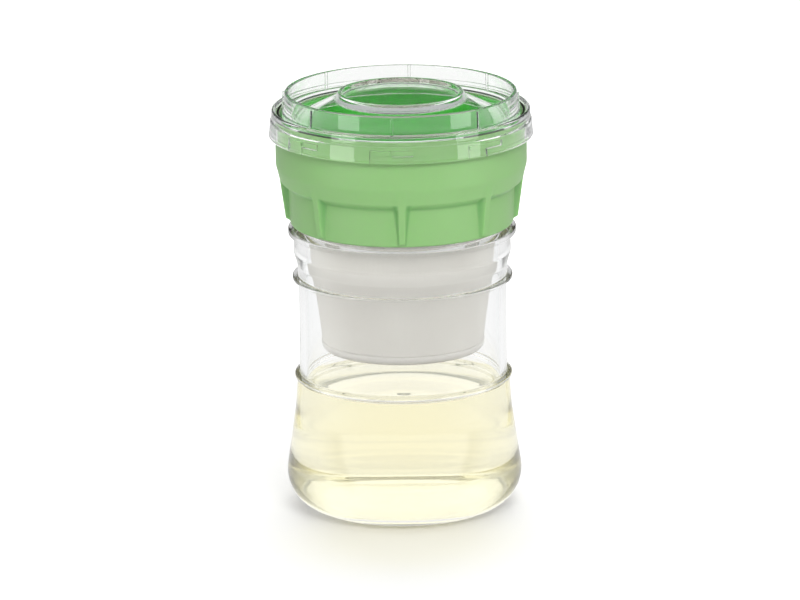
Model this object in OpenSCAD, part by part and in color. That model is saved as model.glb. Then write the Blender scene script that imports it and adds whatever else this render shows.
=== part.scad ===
/* [Jar] */
// Height of the glass to its rim
jar_h = 146; // [128:1:170]
// Outside diameter of the straight wall between the raised rings
waist_d = 92.2; // [80:0.2:104]
// How far the belly stands out past the straight wall
belly_out = 6.2; // [3:0.1:10]
// Radius of the rounded foot
foot_r = 16.4; // [12:0.2:20]
// Height of the lower raised ring
lower_ring_z = 60.4; // [50:0.2:68]
// How far the upper raised ring lies below the shoulder
upper_ring_drop = 11.8; // [9:0.1:16]
// How far the raised rings stand out from the straight wall
ring_proud = 2.2; // [1:0.1:3]
// Outside diameter of the neck above the bead
neck_d = 91; // [80:0.2:102]
// Height of the neck above the middle of the bead
neck_h = 19.7; // [17.5:0.1:24]
// How far the bead under the collar stands out past the neck
bead_out = 5; // [3.5:0.1:7]
// Thickness of the glass wall
glass_t = 3; // [2.4:0.1:3.6]
// Thickness of the glass floor
floor_t = 5.5; // [4:0.25:8]

/* [Collar] */
// How far the bowl stands out past the skirt
bowl_out = 5.8; // [4:0.1:9]
// Height of the bowl above its floor
bowl_h = 27.3; // [22:0.1:36]
// Wall thickness of the bowl
bowl_t = 2.4; // [1.8:0.1:3]
// Thickness of the bowl's floor
ledge_t = 2.2; // [1.8:0.1:3]
// Width of a rib's face
rib_w = 3.4; // [2.4:0.1:5]
// Number of ribs and of bayonet lugs
rib_n = 8; // [6:1:12]

/* [Basket] */
// Gap between the basket and the glass round it
basket_gap = 1.4; // [1:0.1:4]
// How much the basket narrows down to its foot, on each side
basket_taper = 5.3; // [3:0.1:8]
// Depth of the basket below the bowl's floor
basket_h = 77; // [60:0.5:86]
// Number of ribs in the basket
stave_n = 8; // [6:1:12]
// How far the whey lies below the basket
whey_drop = 15.7; // [4:0.1:40]

/* [Lid] */
// Gap between the lid's ring wall and the bowl
crown_gap = 1.8; // [1.2:0.1:6]
// Height of the ring wall above the lid's rim
crown_h = 8.8; // [6:0.2:12]
// Diameter of the dished knob in the middle
knob_d = 55.2; // [40:0.2:62]
// Length of the skirt below the top of the seal
cover_h = 9.2; // [8.4:0.1:12]
// How far the lid's features are turned from the collar's ribs
lid_phase = -4.4; // [-8:0.1:8]
// Turn from free to locked
lid_twist = 9.3; // [8:0.1:11]

/* [Hidden] */
gasket_t = 1.5;
seal_t = 1.6;
mesh_t = 0.6;

// Clearances between pieces that move or fit in one another
neck_gap = 1.9;
skirt_gap = 1.6;
drop_gap = 0.4;
cover_gap = 0.4;
lug_gap = 0.4;
track_gap = 0.3;
whey_gap = 0.05;
mesh_gap = 0.05;

// Glass
lip_flare = 0.4;
bead_h = 3.8;
bead_face = 1.6;
shoulder_h = 9.3;
shoulder_in = 2.2;
ring_h = 2.6;
ring_face = 0.9;
knee_drop = 15.4;
belly_slope = 0.15;
push_up = 1.6;
stand_w = 5.1;
twist_n = 4;
twist_drop = 9.6;
twist_h = 3;
twist_a = 46;

neck_r = neck_d / 2;
mouth_r = neck_r - glass_t + lip_flare;
waist_r = waist_d / 2;
ring_r = waist_r + ring_proud;
well_r = waist_r - glass_t;
bead_r = neck_r + bead_out;
bead_z = jar_h - neck_h;
shoulder_z = bead_z - shoulder_h;
shoulder_r = bead_r - shoulder_in;
upper_ring_z = shoulder_z - upper_ring_drop;
belly_top = lower_ring_z - knee_drop;
belly_r = waist_r + belly_out + foot_r * (belly_slope + sqrt(1 + belly_slope ^ 2) - 1);
knee_r = belly_r - belly_slope * belly_top;
stand_r = waist_r + belly_out - foot_r - stand_w;
twist_z = jar_h - twist_drop;
twist_r = neck_r + neck_gap - lug_gap;

// Collar
skirt_t = 2.3;
step_up = 2;
bowl_curve = 7;
bowl_corner = 6;
corner_in = 2;
rib_in = 1.7;
rib_lean = 2.3;
rib_up = 2;
rib_spread = 5;
lug_drop = 5.8;
lug_h = 1.8;
lug_a = 8;
hook_a = 34;

seat_z = jar_h + gasket_t;
ledge_z = seat_z + ledge_t;
step_z = seat_z + step_up;
rim_z = ledge_z + bowl_h;
skirt_z = bead_z + bead_h / 2 + skirt_gap;
skirt_in_r = neck_r + neck_gap;
skirt_r = skirt_in_r + skirt_t;
bowl_r = skirt_r + bowl_out;
bowl_in_r = bowl_r - bowl_t;
rib_r = bowl_r - rib_in;

// The lid is set out from the top face of its seal.
lip_h = 2.9;
plate_t = 1.6;
lid_t = 1.9;
cover_t = 2.5;
knob_drop = 0.5;
knob_side = 3.6;
knob_flare = 1.8;
dish_d = 2.2;
dish_rim = 2;
trough_d = 2.3;
track_d = 1;
entry_a = 9.7;
grip_w = 1.2;
grip_out = 0.9;

lid_z = rim_z + seal_t;
lip_z = lid_z + lip_h;
crown_r = bowl_in_r - crown_gap;
crown_in_r = crown_r - lid_t;
crown_z = lid_z + plate_t + crown_h;
knob_r = knob_d / 2;
knob_z = crown_z - knob_drop;
dish_z = knob_z - dish_d;
trough_z = lid_z - trough_d;
cover_in_r = bowl_r + cover_gap;
cover_r = cover_in_r + cover_t;
cover_z = lid_z - cover_h;
track_r = cover_in_r + track_d;
lug_z = lid_z - lug_drop;

// Basket
flange_w = 4.5;
flange_t = 2;
band_t = 1.6;
band_h = 10;
band_lap = 4;
stave_w = 2.4;
stave_t = 1.65;
stave_lap = 2;
foot_w = 4.5;
foot_h = 4.4;
foot_t = 1.8;
foot_wall = 2.4;
spoke_w = 2;
spoke_t = 1.6;
spoke_n = 8;
hub_r = 5;

basket_r = min(mouth_r, well_r) - basket_gap;
basket_in_r = basket_r - mesh_t;
basket_z = ledge_z - basket_h;
basket_foot_r = basket_r - basket_taper;
cone_z = shoulder_z;
cone_end_z = basket_z + foot_h;
whey_z = basket_z - whey_drop;

$fn = 96;

function unit(v) = v / norm(v);

// The arc that rounds corner b between a and c.
function corner(a, b, c, r, n) = let(
    u = unit(a - b), v = unit(c - b), half = acos(u * v) / 2,
    m = b + unit(u + v) * r / sin(half),
    p = b + u * r / tan(half) - m, q = b + v * r / tan(half) - m,
    start = atan2(p.y, p.x), turn = (atan2(q.y, q.x) - start + 540) % 360 - 180)
    [for (i = [0:n]) m + r * [cos(start + turn * i / n), sin(start + turn * i / n)]];

// A closed outline from corners given as radius, height and rounding.
function rounded(p, n = 6) = let(k = len(p)) [for (i = [0:k - 1]) let(
    b = [p[i][0], p[i][1]], a = p[(i + k - 1) % k], c = p[(i + 1) % k])
    each p[i][2] == 0 ? [b] : corner([a[0], a[1]], b, [c[0], c[1]], p[i][2], n)];

// A ring of rectangular section over part of a turn, its middle at angle a from the front.
module arc_block(r1, r2, z1, z2, a, width)
    rotate([0, 0, 270 + a - width / 2])
        rotate_extrude(angle = width) translate([r1, z1]) square([r2 - r1, z2 - z1]);

// Repeats a piece at even angles round the axis.
module around(n, phase = 0) for (i = [0:n - 1]) rotate([0, 0, phase + 360 * i / n]) children();

// The hollow of the glass from the floor up to the straight wall, held in by e.
function well(e) = let(k = knee_r - glass_t - e) [
    [k + belly_slope * (belly_top - floor_t), floor_t + e, foot_r - glass_t],
    [k, belly_top, 60],
    [well_r - e, lower_ring_z + ring_h / 2, 12]];

module glass_outline() polygon(rounded([
    [0, push_up, 0],
    [stand_r - push_up, push_up, 1],
    [stand_r, 0, 0.5],
    [belly_r, 0, foot_r],
    [knee_r, belly_top, 60],
    [waist_r + ring_proud / 2, lower_ring_z - ring_h / 2, 0.6],
    [ring_r, lower_ring_z - ring_face / 2, ring_face / 2],
    [ring_r, lower_ring_z + ring_face / 2, ring_face / 2],
    [waist_r, lower_ring_z + ring_h / 2, 0.8],
    [waist_r, upper_ring_z - ring_h / 2, 0.8],
    [ring_r + 0.5, upper_ring_z - ring_face / 2, ring_face / 2],
    [ring_r + 0.5, upper_ring_z + ring_face / 2, ring_face / 2],
    [waist_r + 0.3, upper_ring_z + ring_h / 2 + 0.3, 1],
    [waist_r + 0.5, upper_ring_z + upper_ring_drop / 2, 6],
    [shoulder_r, shoulder_z, 3],
    [shoulder_r - 0.4, bead_z - bead_h / 2, 0.8],
    [bead_r, bead_z - bead_face / 2, bead_face / 2],
    [bead_r, bead_z + bead_face / 2, bead_face / 2],
    [neck_r, bead_z + bead_h / 2, 0.8],
    [neck_r, jar_h, 1.1],
    [mouth_r, jar_h, 1.1],
    [mouth_r, bead_z + bead_face, 8],
    [well_r, shoulder_z - upper_ring_drop * 0.68, 8],
    each [for (i = [2:-1:0]) well(0)[i]],
    [0, floor_t, 0]]));

module glass_jar() color([0.82, 0.9, 0.88, 0.35]) {
    rotate_extrude() glass_outline();
    around(twist_n, 180 / twist_n)
        arc_block(neck_r - 0.5, twist_r, twist_z, twist_z + twist_h, 0, twist_a);
}

module whey() color([0.97, 0.93, 0.72, 0.8]) rotate_extrude() intersection() {
    polygon(rounded([
        [0, floor_t + whey_gap, 0],
        each well(whey_gap),
        [well_r - whey_gap, upper_ring_z, 0],
        [0, upper_ring_z, 0]]));
    square([belly_r, whey_z]);
}

module neck_gasket() color([0.93, 0.93, 0.9]) rotate_extrude()
    translate([mouth_r + 0.2, jar_h]) square([neck_r + 1.1 - mouth_r, gasket_t]);

module collar_outline() polygon(rounded([
    [skirt_in_r, skirt_z, 0.5],
    [skirt_r - 0.3, skirt_z, 1],
    [skirt_r + 0.3, step_z - step_up - 0.6, 1.6],
    [bowl_r - corner_in, step_z, 1.5],
    [bowl_r, step_z + bowl_curve, 8],
    [bowl_r, rim_z, 0.7],
    [bowl_in_r, rim_z, 0.7],
    [bowl_in_r, ledge_z + bowl_corner, 6],
    [bowl_in_r - corner_in, ledge_z, 1.5],
    [basket_r + drop_gap, ledge_z, 0.4],
    [basket_r + drop_gap, seat_z, 0.4],
    [skirt_in_r, seat_z, 0.5]]));

// A rib's plan: a flat face with hollow sides that run out into the skirt.
module rib_plan() polygon(rounded([
    [-rib_spread, skirt_r - skirt_t * 0.6, 0],
    [rib_spread, skirt_r - skirt_t * 0.6, 0],
    [rib_spread, skirt_r - 0.4, 0],
    [rib_w / 2 + 0.3, skirt_r, 1.5],
    [rib_w / 2 - 0.2, bowl_r, 0.5],
    [0.2 - rib_w / 2, bowl_r, 0.5],
    [-rib_w / 2 - 0.3, skirt_r, 1.5],
    [-rib_spread, skirt_r - 0.4, 0]]));

module ribs() intersection() {
    around(rib_n) rotate([0, 0, 180]) linear_extrude(height = step_z + step_up) rib_plan();
    rotate_extrude() polygon(rounded([
        [skirt_r - skirt_t * 0.65, skirt_z + rib_up, 0],
        [skirt_r + 0.3, skirt_z + rib_up, 0],
        [rib_r - rib_lean, skirt_z + 2 * rib_up, 1],
        [rib_r, step_z - 0.2, 0],
        [skirt_r - skirt_t * 0.65, step_z - 0.2, 0]]));
}

module collar() color([0.5, 0.76, 0.42]) {
    rotate_extrude() collar_outline();
    ribs();
    around(rib_n, lid_phase - lid_twist / 2)
        arc_block(bowl_r - bowl_t / 4, track_r - track_gap, lug_z, lug_z + lug_h, 0, lug_a);
    around(twist_n)
        arc_block(neck_r + track_gap, skirt_in_r + skirt_t / 4, twist_z - lug_gap - twist_h,
            twist_z - lug_gap, 0, hook_a);
}

// Lines down the wall of the basket, held in by e from its outside.
function basket_side(e) = [
    [basket_r - e, cone_z],
    [basket_foot_r - e, cone_end_z]];

module stave() {
    out = mesh_t + mesh_gap;
    in = out + stave_t;
    rotate([90, 0, 0]) linear_extrude(height = stave_w, center = true) polygon([
        [basket_r - out, ledge_z - band_h - stave_lap],
        each basket_side(out),
        [basket_foot_r - out, basket_z + foot_t + 1.2],
        [basket_foot_r - in, basket_z + foot_t + 1.2],
        each [for (i = [1, 0]) basket_side(in)[i]],
        [basket_r - in, ledge_z - band_h - stave_lap]]);
}

module basket_rim() rotate_extrude() polygon(rounded([
    [basket_r - band_t, ledge_z - band_h - band_lap, 0],
    [basket_in_r - mesh_gap, ledge_z - band_h - band_lap, 0],
    [basket_in_r - mesh_gap, ledge_z - band_h, 0],
    [basket_r, ledge_z - band_h, 0],
    [basket_r, ledge_z, 0],
    [basket_r + flange_w, ledge_z, 0.5],
    [basket_r + flange_w, ledge_z + flange_t, 0.8],
    [basket_r - band_t, ledge_z + flange_t, 0.8]]));

module basket_foot() {
    rotate_extrude() polygon(rounded([
        [basket_foot_r - foot_w, basket_z, 0.6],
        [basket_foot_r, basket_z, 3.2],
        [basket_foot_r, cone_end_z - 0.2, 0],
        [basket_foot_r - mesh_t - foot_wall, cone_end_z - 0.2, 0.8],
        [basket_foot_r - mesh_t - foot_wall, basket_z + foot_t, 0],
        [basket_foot_r - foot_w, basket_z + foot_t, 0.4]]));
    around(spoke_n) translate([0, -spoke_w / 2, basket_z])
        cube([basket_foot_r - foot_w + 0.5, spoke_w, spoke_t]);
    translate([0, 0, basket_z]) cylinder(r = hub_r, h = spoke_t);
}

module basket_frame() color([0.9, 0.9, 0.87]) {
    basket_rim();
    around(stave_n, 180 / stave_n) stave();
    basket_foot();
}

module basket_wall_mesh() color([0.85, 0.84, 0.81]) rotate_extrude() polygon([
    [basket_r, ledge_z - band_h - mesh_gap],
    each basket_side(0),
    each [for (i = [1, 0]) basket_side(mesh_t)[i]],
    [basket_in_r, ledge_z - band_h - mesh_gap]]);

module basket_floor_mesh() color([0.85, 0.84, 0.81])
    translate([0, 0, basket_z + foot_t + mesh_gap])
        cylinder(r = basket_foot_r - mesh_t - foot_wall - 0.2, h = mesh_t);

module lid_seal() color([0.5, 0.76, 0.42]) rotate_extrude()
    translate([bowl_in_r + bowl_t / 12, rim_z]) square([bowl_t * 5 / 6, seal_t]);

module lid_outline() polygon(rounded([
    [0, dish_z, 0],
    [knob_r - dish_rim, dish_z, 0.5],
    [knob_r - dish_rim + 0.5, knob_z, 0.5],
    [knob_r, knob_z, 0.6],
    [knob_r + knob_flare, knob_z - knob_side, 1.2],
    [crown_in_r - 1.2, trough_z, 1.2],
    [crown_in_r - 0.3, trough_z, 0.4],
    [crown_in_r, crown_z, 0.7],
    [crown_r, crown_z, 0.7],
    [crown_r + 0.5, lid_z + plate_t, 0.7],
    [cover_in_r - 0.3, lid_z + plate_t, 0.4],
    [cover_in_r, lip_z, 0.4],
    [cover_r - 1.3, lip_z - 0.2, 0.8],
    [cover_r - 1.2, lid_z - 1, 0.3],
    [cover_r - 1.6, lid_z - 1.6, 0.15],
    [cover_r - 0.6, lid_z - 2.2, 0.4],
    [cover_r - 0.2, cover_z + 1.6, 0.8],
    [cover_r + 0.1, cover_z + 0.6, 0.3],
    [cover_r - 0.2, cover_z, 0.3],
    [cover_in_r + 0.3, cover_z, 0.3],
    [cover_in_r, cover_z + 0.8, 0],
    [cover_in_r, lid_z, 0],
    [crown_r + 0.1, lid_z, 0.5],
    [crown_r - 0.3, trough_z - lid_t + 0.5, 0.8],
    [crown_in_r - 1.1, trough_z - lid_t, 1],
    [knob_r + knob_flare - 0.8, dish_z - lid_t - 0.3, 2],
    [knob_r - lid_t, dish_z - lid_t, 1],
    [0, dish_z - lid_t, 0]]));

// An L-shaped track: in at the bottom edge, then along under the lip.
module track() {
    arc_block(cover_in_r - 0.5, track_r, cover_z - 1, lug_z + lug_h + lug_gap,
        -lid_twist / 2, entry_a);
    arc_block(cover_in_r - 0.5, track_r, lug_z - lug_gap, lug_z + lug_h + lug_gap,
        0, entry_a + lid_twist);
}

module lid() color([0.9, 0.94, 0.94, 0.4]) {
    difference() {
        rotate_extrude() lid_outline();
        around(rib_n, lid_phase) track();
    }
    around(rib_n, lid_phase) translate([-grip_w / 2, -crown_r - grip_out, lid_z + plate_t - 0.1])
        cube([grip_w, grip_out + 0.5, crown_h - 0.7]);
}

glass_jar();
whey();
neck_gasket();
collar();
basket_frame();
basket_wall_mesh();
basket_floor_mesh();
lid_seal();
lid();
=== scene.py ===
from math import atan2, ceil, cos, degrees, hypot, pi, radians, sin, tan

import bmesh
import bpy
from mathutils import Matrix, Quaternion, Vector


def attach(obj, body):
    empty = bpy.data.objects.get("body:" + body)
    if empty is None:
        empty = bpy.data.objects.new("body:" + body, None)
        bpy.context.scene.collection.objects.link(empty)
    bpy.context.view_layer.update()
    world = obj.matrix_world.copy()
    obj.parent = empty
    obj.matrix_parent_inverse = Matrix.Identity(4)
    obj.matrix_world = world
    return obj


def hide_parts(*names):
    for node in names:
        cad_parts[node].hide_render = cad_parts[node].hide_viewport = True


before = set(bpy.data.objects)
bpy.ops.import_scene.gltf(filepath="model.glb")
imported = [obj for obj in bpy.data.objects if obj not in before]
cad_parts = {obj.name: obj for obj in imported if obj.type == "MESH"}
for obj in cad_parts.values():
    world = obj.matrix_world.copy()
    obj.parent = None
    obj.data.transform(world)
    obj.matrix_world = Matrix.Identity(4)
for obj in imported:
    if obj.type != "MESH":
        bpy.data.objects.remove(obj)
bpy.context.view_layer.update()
scene = bpy.context.scene
scene.view_settings.view_transform = "Standard"
scene.cycles.max_bounces = 64  # enough to see along and through every wall of glass
scene.cycles.transmission_bounces = scene.cycles.glossy_bounces = 48
mm = 0.001
front = radians(-90)  # the side that faces the camera


# nodes

def addNode(tree, kind, sockets=None, **options):
    node = tree.nodes.new(kind)
    for key, value in options.items():
        setattr(node, key, value)
    for key, value in (sockets or {}).items():
        if isinstance(value, bpy.types.NodeSocket):
            tree.links.new(value, node.inputs[key])
        else:
            node.inputs[key].default_value = value
    return node


def addMath(tree, operation, first, second=0.0):
    return addNode(tree, "ShaderNodeMath", {0: first, 1: second},
                   operation=operation).outputs[0]


def addSpread(tree, value, low, high, first=0.0, last=1.0, **options):
    # goes from first to last while the value goes from low to high
    return addNode(tree, "ShaderNodeMapRange", {
        "Value": value, "From Min": low, "From Max": high, "To Min": first, "To Max": last},
        **options).outputs[0]


def mixLevel(tree, part, first, second):
    return addNode(tree, "ShaderNodeMix", {
        "Factor": part, "A": first, "B": second}).outputs[0]


def mixColour(tree, part, first, second):
    return addNode(tree, "ShaderNodeMix", {
        "Factor": part, "A": first, "B": second}, data_type="RGBA").outputs["Result"]


def objectPoint(tree):
    return addNode(tree, "ShaderNodeTexCoord").outputs["Object"]


def addNoise(tree, point, scale, detail=2.0):
    return addNode(tree, "ShaderNodeTexNoise", {
        "Vector": point, "Scale": scale, "Detail": detail}).outputs[0]


def addBump(tree, coat, height, strength, distance):
    bump = addNode(tree, "ShaderNodeBump", {
        "Height": height, "Strength": strength, "Distance": distance})
    tree.links.new(bump.outputs[0], coat.inputs["Normal"])


def setSockets(node, values):
    for key, value in values.items():
        node.inputs[key].default_value = value


def newFinish(name):
    finish = bpy.data.materials.new(name)
    finish.use_nodes = True
    return finish, finish.node_tree, finish.node_tree.nodes["Principled BSDF"]


# camera, floor and lights

camera = {
    "place": (0, -3.0563, 0.901),
    "aim": (-0.00125, 0, 0.0933),
    "lens": 320.3,
    "sensor": 36,
    "reach": 50,
    "roll": -0.63,
}


def addCamera():
    data = bpy.data.cameras.new("photoCamera")
    data.lens = camera["lens"]
    data.sensor_width = camera["sensor"]
    data.clip_end = camera["reach"]
    eye = bpy.data.objects.new("photoCamera", data)
    scene.collection.objects.link(eye)
    eye.location = camera["place"]
    look = Vector(camera["aim"]) - eye.location
    tilt = Quaternion((0, 0, 1), radians(camera["roll"]))
    eye.rotation_euler = (look.to_track_quat("-Z", "Y") @ tilt).to_euler()
    scene.camera = eye


keyLight = {
    "place": (0.2, -1.0, 0.95),
    "aim": (0, 0, 0.12),
    "size": (0.7, 0.5),
    "power": 7.0,
}

topLight = {
    "place": (0.1, 0.05, 1.0),
    "aim": (0, 0, 0.12),
    "size": (0.7, 0.6),
    "power": 1.2,
}

backLight = {
    "place": (0, 0.6, 0.5),
    "aim": (0, 0, 0.12),
    "size": (0.7, 0.4),
    "power": 2.6,
}

# these two show only in gloss
stripLight = {
    "bearings": {"stripLeft": -50, "stripRight": 58},
    "away": 0.52,
    "height": 0.29,
    "size": (0.2, 0.42),
    "power": 1.1,
}


def addLamp(name, place, aim, size, power, mirrored=False):
    data = bpy.data.lights.new(name, "AREA")
    data.shape = "RECTANGLE"
    data.size, data.size_y = size
    data.energy = power
    lamp = bpy.data.objects.new(name, data)
    scene.collection.objects.link(lamp)
    lamp.location = place
    lamp.rotation_euler = (Vector(aim) - Vector(place)).to_track_quat("-Z", "Y").to_euler()
    lamp.visible_camera = False
    lamp.visible_transmission = False
    lamp.visible_glossy = mirrored
    lamp.visible_diffuse = not mirrored


def addLights():
    away, height = stripLight["away"], stripLight["height"]
    for name, bearing in stripLight["bearings"].items():
        turn = radians(bearing)
        place = (away * sin(turn), -away * cos(turn), height)
        addLamp(name, place, (0, 0, height), stripLight["size"], stripLight["power"],
                mirrored=True)
    for name, box in (("keyBox", keyLight), ("topBox", topLight), ("backBox", backLight)):
        addLamp(name, **box)


skyLook = {
    "light": 0.48,  # what the world gives to plain surfaces
    "inside": 1.9,  # what reaches plain surfaces through glass
    "shallow": 2.5,  # surfaces that light may pass on its way to a first reflection
    "deep": 3.5,  # surfaces past which a plain one counts as behind glass
    # heights between which it brightens behind glass, and the levels there
    "haze": (0.05, 0.2, 1.0, 1.4),
    "lost": (3, 7, 1.0, 0.4),  # the same for bounces along a wall, where light fades
    # heights and levels in gloss and glass: pale horizon, dark walls, soft ceiling
    "bands": ((0.0, 1.0), (0.07, 1.0), (0.17, 0.06), (0.5, 0.06), (0.75, 0.15)),
}


def addSky():
    world = bpy.data.worlds.new("studioSky")
    scene.world = world
    world.use_nodes = True
    tree = world.node_tree
    back = tree.nodes["Background"]
    path = addNode(tree, "ShaderNodeLightPath").outputs
    where = addNode(tree, "ShaderNodeTexCoord").outputs["Generated"]
    up = addNode(tree, "ShaderNodeSeparateXYZ", {0: where}).outputs["Z"]
    bands = addNode(tree, "ShaderNodeValToRGB", {0: up})
    ramp = bands.color_ramp.elements
    for spot, level in skyLook["bands"]:
        mark = ramp.new(spot)
        mark.color = (level, level, level, 1)
    ramp.remove(ramp[0])
    ramp.remove(ramp[len(ramp) - 1])
    # the dark walls show only in first reflections
    once = addMath(tree, "COMPARE", path["Glossy Depth"], 1.0)
    shallow = addMath(tree, "LESS_THAN", path["Transmission Depth"], skyLook["shallow"])
    haze = addMath(tree, "MULTIPLY", addSpread(tree, up, *skyLook["haze"]),
                   addSpread(tree, path["Glossy Depth"], *skyLook["lost"]))
    seen = mixLevel(tree, addMath(tree, "MULTIPLY", once, shallow), haze, bands.outputs["Color"])
    # plain surfaces take plain light
    deep = addMath(tree, "GREATER_THAN", path["Transmission Depth"], skyLook["deep"])
    through = addMath(tree, "MULTIPLY", path["Is Transmission Ray"], deep)
    plain = mixLevel(tree, through, skyLook["light"], skyLook["inside"])
    direct = addMath(tree, "MAXIMUM", path["Is Camera Ray"], path["Is Glossy Ray"])
    direct = addMath(tree, "MAXIMUM", direct, path["Is Transmission Ray"])
    unlit = addMath(tree, "LESS_THAN", path["Diffuse Depth"], 0.5)
    level = mixLevel(tree, addMath(tree, "MULTIPLY", direct, unlit), plain, seen)
    back.inputs["Color"].default_value = (1, 1, 1, 1)
    tree.links.new(level, back.inputs["Strength"])


floorLook = {
    "size": 4.0,
    "colour": (0.86, 0.86, 0.85, 1),
    # what lifts it to white for the camera: distances and levels
    "glow": (0.22, 1.1, 0.28, 0.8),
    # what darkens it in reflections, to the front, far off and for light along a wall
    "dusk": (-0.3, 0.0, 0.2, 1.0),
    "end": (0.35, 0.6, 1.0, 0.75),
    "along": (1, 3, 1.0, 0.85),
    "horizon": (0.9, 1.4),  # where it is pale again
    # painted light from the whey at the foot
    "warmSpot": (0, -0.062, 0),
    "warmReach": (0.02, 0.07),
    "warmColour": (1, 0.94, 0.6, 1),
}


def addFloor():
    shape = bmesh.new()
    bmesh.ops.create_grid(shape, x_segments=8, y_segments=8, size=floorLook["size"])
    mesh = bpy.data.meshes.new("floor")
    shape.to_mesh(mesh)
    shape.free()
    finish, tree, paper = newFinish("floorPaper")
    setSockets(paper, {"Base Color": floorLook["colour"], "Roughness": 0.8,
                       "Specular IOR Level": 0.1})
    path = addNode(tree, "ShaderNodeLightPath").outputs
    point = objectPoint(tree)
    ahead = addNode(tree, "ShaderNodeSeparateXYZ", {0: point}).outputs["Y"]
    away = addNode(tree, "ShaderNodeVectorMath", {0: point}, operation="LENGTH").outputs["Value"]
    lift = addSpread(tree, away, *floorLook["glow"], interpolation_type="SMOOTHSTEP")
    tree.links.new(addMath(tree, "MULTIPLY", path["Is Camera Ray"], lift),
                   paper.inputs["Emission Strength"])
    # painted light: a warm pool in the floor's glow near the foot
    spot = addNode(tree, "ShaderNodeVectorMath", {0: point, 1: floorLook["warmSpot"]},
                   operation="DISTANCE").outputs["Value"]
    warm = addSpread(tree, spot, *floorLook["warmReach"], interpolation_type="SMOOTHSTEP")
    tree.links.new(mixColour(tree, warm, floorLook["warmColour"], (1, 1, 1, 1)),
                   paper.inputs["Emission Color"])
    dim = 1.0
    for value, fade in ((ahead, "dusk"), (away, "end"), (path["Glossy Depth"], "along")):
        dim = addMath(tree, "MULTIPLY", addSpread(tree, value, *floorLook[fade]), dim)
    dim = addMath(tree, "MAXIMUM", dim, addSpread(tree, away, *floorLook["horizon"]))
    mirrored = addMath(tree, "MINIMUM", path["Glossy Depth"], 1.0)
    white = addNode(tree, "ShaderNodeEmission", {"Strength": mixLevel(tree, mirrored, 1.0, dim)})
    glass = addMath(tree, "MAXIMUM", path["Is Glossy Ray"], path["Is Transmission Ray"])
    seen = addNode(tree, "ShaderNodeMixShader", {
        0: glass, 1: paper.outputs[0], 2: white.outputs[0]})
    tree.links.new(seen.outputs[0], tree.nodes["Material Output"].inputs["Surface"])
    mesh.materials.append(finish)
    floor = bpy.data.objects.new("floor", mesh)
    scene.collection.objects.link(floor)


# finishes

def clearFinish(name, rough, ior, colour, density):
    finish, tree, coat = newFinish(name)
    setSockets(coat, {"Base Color": (1, 1, 1, 1), "Roughness": rough, "IOR": ior,
                      "Transmission Weight": 1.0})
    soak = addNode(tree, "ShaderNodeVolumeAbsorption", {"Color": colour, "Density": density})
    tree.links.new(soak.outputs[0], tree.nodes["Material Output"].inputs["Volume"])
    return finish, tree, coat


def jarGlass():
    finish, tree, coat = clearFinish("jarGlass", 0.0, 1.51, (0.5, 0.55, 0.42, 1), 3.2)
    addBump(tree, coat, addNoise(tree, objectPoint(tree), 38, 1.0), 0.03, 0.002)
    # glass looks deeper where it turns away
    rim = addNode(tree, "ShaderNodeLayerWeight", {"Blend": 0.5}).outputs["Facing"]
    tint = mixColour(tree, addMath(tree, "POWER", rim, 2.0), (1, 1, 1, 1), (0.85, 0.87, 0.88, 1))
    tree.links.new(tint, coat.inputs["Base Color"])
    return finish


def wheyLiquid():
    return clearFinish("wheyLiquid", 0.0, 1.34, (0.955, 0.86, 0.2, 1), 5.8)[0]


def clearPlastic():
    finish, tree, coat = clearFinish("clearPlastic", 0.015, 1.49, (0.75, 0.85, 0.85, 1), 6.0)
    addBump(tree, coat, addNoise(tree, objectPoint(tree), 60, 1.0), 0.04, 0.001)
    return finish


greenLook = {
    "skin": ((0.32, 0.615, 0.23, 1), (0.345, 0.64, 0.25, 1)),
    "hollow": (0.2, 0.49, 0.16, 1),  # painted shade beside the ribs and under the bowl
    "inside": ((0.11, 0.41, 0.09, 1), (0.14, 0.66, 0.12, 1)),  # painted light inside the bowl, low and high
    "rise": (0.153, 0.172),  # heights of these two
    "bowlFloor": 0.1492,
    "bowlWall": (0.1497, 0.1557, 0.0526, 0.0542),  # two heights, and the radii there
}


def greenPlastic():
    look = greenLook
    finish, tree, coat = newFinish("greenPlastic")
    point = objectPoint(tree)
    tint = mixColour(tree, addNoise(tree, point, 22, 3.0), *look["skin"])
    # painted shade beside the ribs and under the bowl, read from a vertex layer set in raiseRibs
    hollow = addNode(tree, "ShaderNodeAttribute", attribute_name="hollow").outputs["Fac"]
    tint = mixColour(tree, hollow, tint, look["hollow"])
    # painted light: a deeper green inside the bowl, brighter higher up, stands in for light that
    # has come through the wall
    flat = addNode(tree, "ShaderNodeVectorMath", {0: point, 1: (1, 1, 0)}, operation="MULTIPLY")
    away = addNode(tree, "ShaderNodeVectorMath", {0: flat.outputs[0]}, operation="LENGTH")
    height = addNode(tree, "ShaderNodeSeparateXYZ", {0: point}).outputs["Z"]
    wall = addSpread(tree, height, *look["bowlWall"])
    inner = addMath(tree, "MULTIPLY",
                    addMath(tree, "LESS_THAN", away.outputs["Value"], wall),
                    addMath(tree, "GREATER_THAN", height, look["bowlFloor"]))
    deep = mixColour(tree, addSpread(tree, height, *look["rise"]), *look["inside"])
    tree.links.new(mixColour(tree, inner, tint, deep), coat.inputs["Base Color"])
    grain = addNoise(tree, point, 1700)
    tree.links.new(addSpread(tree, grain, 0.3, 0.7, 0.42, 0.52), coat.inputs["Roughness"])
    addBump(tree, coat, grain, 0.12, 0.0002)
    for socket, least, most in (("Subsurface Weight", 0.3, 1.0),
                                ("Subsurface Scale", 0.0015, 0.006)):
        tree.links.new(addSpread(tree, inner, 0, 1, least, most), coat.inputs[socket])
    setSockets(coat, {"Specular IOR Level": 0.4, "Subsurface Radius": (0.6, 1.6, 0.45)})
    return finish


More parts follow.
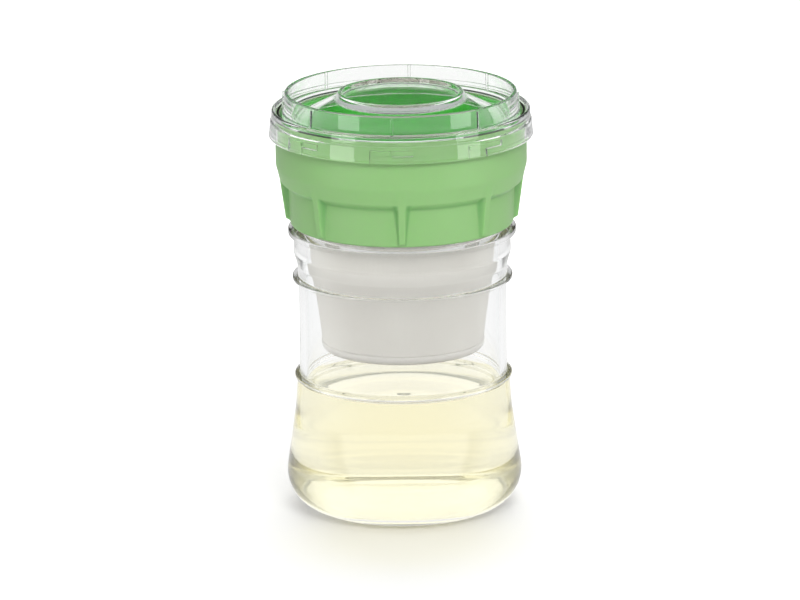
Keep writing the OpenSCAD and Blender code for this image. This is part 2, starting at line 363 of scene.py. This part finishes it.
def ringRubber(name, colours, rough, gloss):
    finish, tree, coat = newFinish(name)
    bloom = addNoise(tree, objectPoint(tree), 260, 3.0)
    tree.links.new(mixColour(tree, bloom, *colours), coat.inputs["Base Color"])
    addBump(tree, coat, bloom, 0.08, 0.0002)
    setSockets(coat, {"Roughness": rough, "Specular IOR Level": gloss})
    return finish


def framePlastic():
    finish, tree, coat = newFinish("framePlastic")
    point = objectPoint(tree)
    tint = mixColour(tree, addNoise(tree, point, 90),
                     (0.82, 0.8, 0.745, 1), (0.88, 0.86, 0.805, 1))
    tree.links.new(tint, coat.inputs["Base Color"])
    addBump(tree, coat, addNoise(tree, point, 1400), 0.1, 0.0002)
    setSockets(coat, {"Roughness": 0.4, "Specular IOR Level": 0.45})
    return finish


def meshCloth(name, threads):
    # threads gives the two counts, across and along, from the object's own place
    finish, tree, coat = newFinish(name)
    point = objectPoint(tree)
    waves = [addMath(tree, "ABSOLUTE", addMath(tree, "SINE", way)) for way in threads(tree, point)]
    hole = addMath(tree, "MULTIPLY", *[addMath(tree, "POWER", wave, 1.5) for wave in waves])
    body = addMath(tree, "SUBTRACT", 1.0, hole)
    damp = addNoise(tree, point, 48, 3.0)
    shade = addMath(tree, "ADD", addMath(tree, "MULTIPLY", body, 0.5),
                    addMath(tree, "MULTIPLY", damp, 0.5))
    tint = mixColour(tree, shade, (0.77, 0.735, 0.685, 1), (0.985, 0.975, 0.905, 1))
    tree.links.new(tint, coat.inputs["Base Color"])
    addBump(tree, coat, body, 0.35, 0.0003)
    setSockets(coat, {"Roughness": 0.7, "Specular IOR Level": 0.25})
    return finish


# shapes turned round the jar's axis; sizes in mm

edgeKeep = 0.12  # how near a rounding the first row of a flat part lies
arcStep = radians(10)
weld = 2e-6  # in metres


def roundedOutline(corners):
    # corners are radius, height and rounding
    arcs = []
    for i, (r, z, size) in enumerate(corners):
        here = Vector((r, z))
        if size == 0:
            arcs.append([here])
            continue
        back = (Vector(corners[i - 1][:2]) - here).normalized()
        on = (Vector(corners[(i + 1) % len(corners)][:2]) - here).normalized()
        half = back.angle(on) / 2
        middle = here + (back + on).normalized() * size / sin(half)
        first = here + back * size / tan(half) - middle
        last = here + on * size / tan(half) - middle
        start = atan2(first.y, first.x)
        turn = (atan2(last.y, last.x) - start + 3 * pi) % (2 * pi) - pi
        steps = max(3, ceil(abs(turn) / arcStep))
        angles = [start + turn * k / steps for k in range(steps + 1)]
        arcs.append([middle + size * Vector((cos(angle), sin(angle))) for angle in angles])
    line = arcs[0]
    for arc in arcs[1:]:
        gap = (arc[0] - line[-1]).length
        if gap > 6 * edgeKeep:  # rows beside a rounding keep the flat parts flat
            line = line + [line[-1].lerp(arc[0], part / gap)
                           for part in (edgeKeep, gap - edgeKeep)]
        line = line + arc
    return line


def addRows(line, step, low=0, high=1000):
    # splits the long upward stretches between two heights
    rows = [line[0]]
    for here, there in zip(line, line[1:]):
        inside = low <= here.y and there.y <= high
        count = max(1, ceil((there.y - here.y) / step)) if inside else 1
        rows += [here.lerp(there, k / count) for k in range(1, count + 1)]
    return rows


def turnOutline(line, closed=False, sectors=((45, 32),), start=0.0):
    # sectors give degrees and steps of one part of the turn, which is then repeated
    shape = bmesh.new()
    across = Vector((cos(start), sin(start)))
    dots = [shape.verts.new((*(across * r * mm), z * mm)) for r, z in line]
    pairs = zip(dots, dots[1:] + dots[:1] if closed else dots[1:])
    edge = dots + [shape.edges.new(pair) for pair in pairs]
    axis = {"cent": (0, 0, 0), "axis": (0, 0, 1), "dvec": (0, 0, 0)}
    for angle, steps in sectors:
        edge = bmesh.ops.spin(shape, geom=edge, angle=radians(angle), steps=steps,
                              **axis)["geom_last"]
    part = radians(sum(angle for angle, steps in sectors))
    copies = round(2 * pi / part) - 1
    whole = shape.verts[:] + shape.edges[:] + shape.faces[:]
    bmesh.ops.spin(shape, geom=whole, angle=part * copies, steps=copies,
                   use_duplicate=True, **axis)
    bmesh.ops.remove_doubles(shape, verts=shape.verts, dist=weld)
    bmesh.ops.recalc_face_normals(shape, faces=shape.faces)
    return shape


def polar(point):
    # radius and height in mm, bearing in degrees from the front
    return (hypot(point.x, point.y) / mm, point.z / mm,
            degrees(atan2(point.y, point.x) - front))


def fromNearest(bearing, first, count):
    # how far a bearing is from the nearest of some even places round the axis
    pitch = 360 / count
    return (bearing - first + pitch / 2) % pitch - pitch / 2


def growOut(dot, grow):
    dot.co.x *= grow
    dot.co.y *= grow


def smoothStep(value):
    value = min(1, max(0, value))
    return value * value * (3 - 2 * value)


def pushWindow(shape, inside, radius=None, proud=0):
    # pushes the faces of a window to one radius, or out by an amount
    faces = [face for face in shape.faces if inside(*polar(face.calc_center_median()))]
    made = bmesh.ops.extrude_face_region(shape, geom=faces)["geom"]
    bmesh.ops.delete(shape, geom=[face for face in faces if face.is_valid], context="FACES")
    for dot in made:
        if isinstance(dot, bmesh.types.BMVert):
            away = hypot(dot.co.x, dot.co.y)
            growOut(dot, (radius * mm if radius else away + proud * mm) / away)
    bmesh.ops.remove_doubles(shape, verts=shape.verts, dist=weld)
    bmesh.ops.dissolve_degenerate(shape, edges=shape.edges, dist=weld)
    bmesh.ops.recalc_face_normals(shape, faces=shape.faces)


def addPiece(name, shape, finish, body, node, sharp=32):
    mesh = bpy.data.meshes.new(name)
    shape.to_mesh(mesh)
    shape.free()
    mesh.materials.append(finish)
    mesh.shade_smooth()
    mesh.set_sharp_from_angle(angle=radians(sharp))
    piece = bpy.data.objects.new(name, mesh)
    scene.collection.objects.link(piece)
    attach(piece, body)
    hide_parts(node)
    print(name, "has", len(mesh.polygons), "faces")
    return piece


# the glass jar and what stands in it

jar = {
    "rim": 146,
    "waist": 46.1,
    "ring": 48.3,
    "ringHalf": 0.9,
    "ringFace": 0.68,
    "ringEdge": 0.52,
    "lowRing": 60.4,
    "highRing": 105.2,
    "shoulder": 117,
    "bead": 126.3,
    "beadOut": 50.5,
    "beadHalf": 1.5,
    "beadFace": 1.15,
    "beadEdge": 0.45,
    "neck": 45.5,
    "mouth": 42.9,
    "mouthLow": 127.9,
    "well": 43.1,
    "wellUp": 61.7,  # where its wall turns straight
    "belly": 54.944,
    "knee": 48.194,
    "kneeUp": 45,
    "lean": 0.15,  # how much wider the belly gets with each mm down
    "foot": 16.4,
    "stand": 35,  # where it touches the table
    "under": (33.4, 1.6),  # the hollow underneath: radius and height
    "floor": 5.5,
    "glass": 3,
    "lug": (136.4, 139.4, 47.0, 46),  # bottom, top, radius, degrees
}


def wellCorners(out):
    # the hollow from its floor to the straight wall, moved out into the glass
    knee = jar["knee"] - jar["glass"] + out
    return [
        (knee + jar["lean"] * (jar["kneeUp"] - jar["floor"]), jar["floor"] - out,
         jar["foot"] - jar["glass"]),
        (knee, jar["kneeUp"], 60),
        (jar["well"] + out, jar["wellUp"], 12)]


def jarOutline():
    waist, ring, neck = jar["waist"], jar["ring"], jar["neck"]
    low, high, bead, out = jar["lowRing"], jar["highRing"], jar["bead"], jar["beadOut"]
    half, face, edge = jar["ringHalf"], jar["ringFace"], jar["ringEdge"]
    beadHalf, beadFace, beadEdge = jar["beadHalf"], jar["beadFace"], jar["beadEdge"]
    under, underUp = jar["under"]
    return roundedOutline([
        (0, underUp, 0), (under, underUp, 1), (jar["stand"], 0, 0.3),
        (jar["belly"], 0, jar["foot"]), (jar["knee"], jar["kneeUp"], 60),
        (waist + 1.05, low - half, 0.4), (ring, low - face, edge), (ring, low + face, edge),
        (waist, low + half, 0.5), (waist, high - half, 0.5),
        (ring + 0.5, high - face, edge), (ring + 0.5, high + face, edge),
        (waist + 0.3, high + half, 0.5), (waist + 0.5, high + 5.9, 6),
        (out - 2.2, jar["shoulder"], 3), (out - 2.6, bead - beadHalf, 0.6),
        (out, bead - beadFace, beadEdge), (out, bead + beadFace, beadEdge),
        (neck, bead + beadHalf, 0.8),
        (neck, jar["lug"][0], 0), (neck, jar["lug"][1], 0),
        (neck, jar["rim"], 1.1), (jar["mouth"], jar["rim"], 1.1),
        (jar["mouth"], jar["mouthLow"], 8), (jar["well"], jar["shoulder"] - 8.02, 8),
        *reversed(wellCorners(0)), (0, jar["floor"], 0)])


def makeJar():
    low, high, out, wide = jar["lug"]
    shape = turnOutline(jarOutline(), sectors=((wide, 33), (90 - wide, 31)),
                        start=front + radians(45 - wide / 2))
    pushWindow(shape, lambda r, z, a: abs(r - jar["neck"]) < 0.3 and low < z < high
               and abs(fromNearest(a, 45, 4)) < wide / 2, out)
    addPiece("jarBody", shape, jarGlass(), "jar", "glass_jar")


whey = {
    "level": 57,
    "climb": 1.3,  # how far it creeps up the glass
    "creep": 2.6,  # how far from the glass that begins
    "curl": 2.6,  # how steeply it ends
    "into": 0.12,  # runs into the glass so that no film of air shows
}


def makeWhey():
    level, climb, creep, into = whey["level"], whey["climb"], whey["creep"], whey["into"]
    side = roundedOutline([(0, jar["floor"] - into, 0), *wellCorners(into),
                           (jar["well"] + into, 90, 0)])
    top = level + climb
    line = [dot for dot in side if dot.y < top]
    over = side[len(line)]
    line.append(line[-1].lerp(over, (top - line[-1].y) / (over.y - line[-1].y)))
    wall = line[-1].x
    for k in range(1, 9):  # the curved edge of the surface
        part = k / 8
        line.append(Vector((wall - creep * part, level + climb * (1 - part) ** whey["curl"])))
    line += [Vector((wall - creep - edgeKeep, level)), Vector((0, level))]
    addPiece("wheyPool", turnOutline(line), wheyLiquid(), "jar", "whey", sharp=50)


gasket = {
    "inner": 43.1,
    "outer": 46.8,
    "low": 146,
    "high": 147.5,
    "colours": ((0.72, 0.72, 0.69, 1), (0.78, 0.78, 0.75, 1)),
    "rough": 0.42,
    "gloss": 0.45,
}


def makeGasket():
    g = gasket
    shape = turnOutline(roundedOutline([
        (g["inner"], g["low"], 0.3), (g["outer"], g["low"], 0.3),
        (g["outer"], g["high"], 0.3), (g["inner"], g["high"], 0.3)]), closed=True)
    finish = ringRubber("paleSilicone", g["colours"], g["rough"], g["gloss"])
    addPiece("neckGasket", shape, finish, "neck_gasket", "neck_gasket")


# the green collar

collar = {
    "skirtIn": 47.4,
    "skirt": 49.7,
    "skirtLow": 129.8,
    "seat": 147.5,
    "step": 149.5,
    "ledge": 149.7,
    "bowl": 55.5,
    "bowlIn": 53.1,
    "rim": 177.0,
    "hole": 41.9,
    "rib": 53.8,
    "ribLean": 2.6,
    "ribUp": 0.7,  # how far it stops above the skirt's edge
    "ribEnd": 1.2,  # how far up from there it is at its full depth
    "ribFace": (1.25, 0.2),  # half of its face at the bottom, and what it gains to the top
    "ribFoot": (2.2, 2.5),  # the same for where its hollow sides run out
    "ribSide": 2.2,  # how hollow they are
    "ribBlend": 0.8,  # how softly it joins the bowl
    "fold": (2.2, 1.6, 0.6),  # painted shade under the bowl: how far below the step, height, depth
    "lug": (172.8, 174.6, 56.6, 8, -9.05),  # bottom, top, radius, degrees, bearing
    "hook": (133.0, 136.0, 45.8, 34),
    # degrees and steps: the lug, up to the rib, the rib, past it, and the ends of the hooks
    "sectors": ((8, 6), (2.85, 8), (4.4, 20), (2.85, 8), (11.95, 8), (11, 7), (3.95, 3)),
}


def collarOutline():
    c = collar
    bowl, inner, hook, lug = c["bowl"], c["bowlIn"], c["hook"], c["lug"]
    return roundedOutline([
        (c["skirtIn"], c["skirtLow"], 0.5), (c["skirt"] - 0.3, c["skirtLow"], 1),
        (c["skirt"] + 0.3, c["step"] - 2.6, 1.6), (bowl - 2, c["step"], 1.5),
        (bowl, c["step"] + 7, 8), (bowl, lug[0], 0), (bowl, lug[1], 0),
        (bowl, c["rim"], 0.7), (inner, c["rim"], 0.7),
        (inner, c["ledge"] + 6, 6), (inner - 2, c["ledge"], 1.5),
        (c["hole"], c["ledge"], 0.4), (c["hole"], c["seat"], 0.4),
        (c["skirtIn"], c["seat"], 0.5),
        (c["skirtIn"], hook[1], 0), (c["skirtIn"], hook[0], 0)])


def raiseRibs(shape):
    c = collar
    low, step, blend = c["skirtLow"] + c["ribUp"], c["step"], c["ribBlend"]
    shadeDown, shadeTall, shadeDepth = c["fold"]
    # a vertex layer of painted shade, which the green finish darkens
    hollow = shape.verts.layers.float.new("hollow")
    for dot in shape.verts:
        r, z, bearing = polar(dot.co)
        # the inner side of the wall stays as it is
        inner = c["bowlIn"] - 0.8 + 0.3 * (z - step) if z > step - 0.3 else c["skirtIn"] + 0.8
        if r < inner or not low < z < step + 6:
            continue
        part = min(1, (z - low) / (step - low))
        along = abs(radians(fromNearest(bearing, 0, 8))) * r
        face = c["ribFace"][0] + c["ribFace"][1] * part
        foot = c["ribFoot"][0] + c["ribFoot"][1] * part ** 1.5
        out = c["rib"] - c["ribLean"] * (1 - part) - r
        joined = min(1, max(0, 0.5 + 0.5 * out / blend))
        lift = out * joined + blend * joined * (1 - joined)
        lift *= smoothStep((z - low) / c["ribEnd"])
        flank = min(1, max(0, along - face) / (foot - face))
        side = (1 - flank) ** c["ribSide"]
        # painted shade: a band under the bowl and the ribs' hollow sides, stronger higher up
        fold = smoothStep(1 - abs(step - shadeDown - z) / shadeTall) * smoothStep(flank * 2)
        shade = sin(pi * flank ** 0.95) * (0.4 + 0.6 * part) * smoothStep((step + 1 - z) / 2)
        dot[hollow] = max(shadeDepth * fold, shade)
        growOut(dot, 1 + lift * side / r)


def makeCollar():
    c = collar
    rows = addRows(collarOutline(), 1.0, c["skirtLow"], c["step"] - 2)
    low, high, out, wide, bearing = c["lug"]
    shape = turnOutline(rows, closed=True, sectors=c["sectors"],
                        start=front + radians(bearing - wide / 2))
    raiseRibs(shape)
    pushWindow(shape, lambda r, z, a: abs(r - c["bowl"]) < 0.2 and low < z < high
               and abs(fromNearest(a, bearing, 8)) < wide / 2, out)
    low, high, out, wide = c["hook"]
    pushWindow(shape, lambda r, z, a: abs(r - c["skirtIn"]) < 0.2 and low < z < high
               and abs(fromNearest(a, 0, 4)) < wide / 2, out)
    addPiece("collarBowl", shape, greenPlastic(), "collar", "collar", sharp=40)


# the draining basket

basket = {
    "top": 139.65,
    "bend": 117,
    "low": 77.1,
    "radius": 41.2,
    "foot": 35.9,
    "staves": 8,
    "bow": 0.22,  # how far the cloth draws in between the staves
    "bowEnd": 6,  # how near its edges that begins
    "pucker": 0.12,
    "puckers": 36,
    "puckerSway": (1.3, 5),  # how uneven they are, and how often that changes
    "puckerUp": (120, 14, 3),  # where they begin, how soon they are full, and their end
    "disc": 33.0,
    "discUp": 74.85,
    "discRings": 6,
    "pitch": 0.55,  # threads, in mm
}


def wallThreads(tree, point):
    parts = addNode(tree, "ShaderNodeSeparateXYZ", {0: point})
    angle = addMath(tree, "ARCTAN2", parts.outputs["Y"], parts.outputs["X"])
    count = round(2 * pi * basket["radius"] / basket["pitch"])
    return (addMath(tree, "MULTIPLY", angle, count / 2),
            addMath(tree, "MULTIPLY", parts.outputs["Z"], pi / (basket["pitch"] * mm)))


def discThreads(tree, point):
    parts = addNode(tree, "ShaderNodeSeparateXYZ", {0: point})
    step = pi / (basket["pitch"] * mm)
    return (addMath(tree, "MULTIPLY", parts.outputs["X"], step),
            addMath(tree, "MULTIPLY", parts.outputs["Y"], step))


def makeBasketWall():
    b = basket
    radius, foot, top, bend, low = b["radius"], b["foot"], b["top"], b["bend"], b["low"]
    begin, grown, ended = b["puckerUp"]
    sway, swayCount = b["puckerSway"]
    rows = addRows(roundedOutline([(foot, low, 0), (radius, bend, 30), (radius, top, 0)]), 1.5)
    shape = turnOutline(rows, sectors=((45, 36),))
    for dot in shape.verts:
        r, z, bearing = polar(dot.co)
        turn = radians(bearing)
        between = cos(radians(fromNearest(bearing, 0, b["staves"]) * b["staves"] / 2)) ** 2
        ends = smoothStep((top - z) / b["bowEnd"]) * smoothStep((z - low) / b["bowEnd"])
        gather = smoothStep((z - begin) / grown) * smoothStep((top - z) / ended)
        fold = sin(turn * b["puckers"] + sway * sin(turn * swayCount))
        growOut(dot, 1 - (b["bow"] * between * ends + b["pucker"] * gather * fold) / r)
    piece = addPiece("basketCloth", shape, meshCloth("basketWeave", wallThreads), "basket",
                     "basket_wall_mesh", sharp=60)


def makeBasketFloor():
    b = basket
    shape = bmesh.new()
    bmesh.ops.create_circle(shape, cap_ends=True, segments=96, radius=b["disc"] * mm)
    width = b["disc"] / (b["discRings"] + 1) * mm
    for k in range(b["discRings"]):
        face = max(shape.faces, key=lambda f: len(f.verts))
        bmesh.ops.inset_region(shape, faces=[face], thickness=width, use_boundary=True)
    bmesh.ops.translate(shape, verts=shape.verts, vec=(0, 0, b["discUp"] * mm))
    piece = addPiece("basketFloorCloth", shape, meshCloth("floorWeave", discThreads), "basket",
                     "basket_floor_mesh", sharp=60)


def makeFrame():
    shape = bmesh.new()
    shape.from_mesh(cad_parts["basket_frame"].data)
    bmesh.ops.remove_doubles(shape, verts=shape.verts, dist=weld)
    addPiece("basketFrame", shape, framePlastic(), "basket", "basket_frame")


# the clear lid and its seal

seal = {
    "inner": 53.3,
    "outer": 55.3,
    "low": 177.0,
    "high": 178.6,
    "colours": ((0.28, 0.56, 0.2, 1), (0.33, 0.6, 0.24, 1)),
    "rough": 0.45,
    "gloss": 0.4,
}


def makeSeal():
    s = seal
    shape = turnOutline(roundedOutline([
        (s["inner"], s["low"], 0.3), (s["outer"], s["low"], 0.3),
        (s["outer"], s["high"], 0.5), (s["inner"], s["high"], 0.5)]), closed=True)
    finish = ringRubber("sealRubber", s["colours"], s["rough"], s["gloss"])
    addPiece("lidSeal", shape, finish, "lid_seal", "lid_seal")


lid = {
    "plate": 178.6,
    "cover": 58.4,
    "coverIn": 55.9,
    "coverLow": 169.4,
    "lip": 181.5,
    "crown": 51.3,
    "crownIn": 49.4,
    "crownTop": 189.0,
    "knob": 27.6,
    "knobTop": 188.5,
    "dish": 186.3,
    "trough": 176.3,
    "track": 56.9,
    "slot": (172.4, 175.0, 19.0),  # bottom, top, degrees
    "entry": (9.7, -4.65),  # degrees, bearing
    "grip": (188.2, 0.9, 1.34),  # top, how proud, degrees
    "gripBevel": 0.42,
    "phase": -4.4,
}


def lidOutline():
    d = lid
    plate, cover, inner, low = d["plate"], d["cover"], d["coverIn"], d["coverLow"]
    crown, crownIn, top, knob = d["crown"], d["crownIn"], d["crownTop"], d["knob"]
    trough, dish = d["trough"], d["dish"]
    return roundedOutline([
        (0, dish, 0), (knob - 2, dish, 0.5), (knob - 1.5, d["knobTop"], 0.5),
        (knob, d["knobTop"], 0.6), (knob + 1.8, d["knobTop"] - 2.94, 1.2),
        (crownIn - 1.2, trough, 1.2), (crownIn - 0.3, trough, 0.4),
        (crownIn, top, 0.7), (crown, top, 0.7), (crown + 0.045, d["grip"][0], 0),
        (crown + 0.5, plate + 1.6, 0.7), (inner - 0.3, plate + 1.6, 0.4),
        (inner, d["lip"], 0.4), (cover - 1.3, d["lip"] - 0.2, 0.8),
        (cover - 1.2, plate - 1, 0.3), (cover - 1.6, plate - 1.6, 0.15),
        (cover - 0.6, plate - 2.2, 0.4), (cover - 0.2, low + 1.6, 0.8),
        (cover + 0.1, low + 0.6, 0.3), (cover - 0.2, low, 0.3),
        (d["track"], low, 0), (inner + 0.3, low, 0.25), (inner, low + 0.8, 0),
        (inner, d["slot"][0], 0), (inner, d["slot"][1], 0), (inner, plate, 0),
        (crown + 0.1, plate, 0.5), (crown - 0.3, trough - 1.4, 0.8),
        (crownIn - 1.1, trough - 1.9, 1), (knob + 1, dish - 2.2, 2),
        (knob - 1.9, dish - 1.9, 1), (0, dish - 1.9, 0)])


def makeLid():
    d = lid
    low, high, wide = d["slot"]
    entry, bearing = d["entry"]
    top, proud, gripWide = d["grip"]
    half, grip = wide / 2, gripWide / 2
    meet = bearing + entry / 2  # where the entry ends along the slot
    sectors = ((half - grip, 8), (grip + meet, 1), (grip - meet, 1), (half - grip, 8),
               (45 - wide, 22))
    shape = turnOutline(lidOutline(), sectors=sectors, start=front + radians(d["phase"] - half))

    def inTrack(r, z, a):
        side = fromNearest(a, d["phase"], 8)
        inWall = d["coverIn"] - 0.1 < r < d["track"] and z < d["plate"] - 2
        inEntry = abs(side - bearing) < entry / 2 and z < high
        inSlot = abs(side) < half and low < z < high
        return inWall and (inEntry or inSlot)

    pushWindow(shape, inTrack, d["track"])
    pushWindow(shape, lambda r, z, a: d["crown"] - 0.02 < r < d["crown"] + 0.5
               and d["plate"] + 2 < z < top and abs(fromNearest(a, d["phase"], 8)) < grip,
               proud=proud)
    edges = []  # the upright edges of the grips
    for edge in shape.edges:
        ends = [polar(dot.co) for dot in edge.verts]
        if abs(ends[0][1] - ends[1][1]) > 0.5 and all(
                r > d["crown"] + proud - 0.1 and z > d["plate"] + 1.5
                and abs(abs(fromNearest(a, d["phase"], 8)) - grip) < 0.05 for r, z, a in ends):
            edges.append(edge)
    bmesh.ops.bevel(shape, geom=edges, offset=d["gripBevel"] * mm, segments=3, profile=0.5,
                    affect="EDGES", material=-1)
    addPiece("lidCover", shape, clearPlastic(), "lid", "lid", sharp=35)


addCamera()
addSky()
addLights()
addFloor()
print("stage set")
makeJar()
makeWhey()
makeGasket()
makeCollar()
makeBasketWall()
makeBasketFloor()
makeFrame()
makeSeal()
makeLid()
print("pieces made")
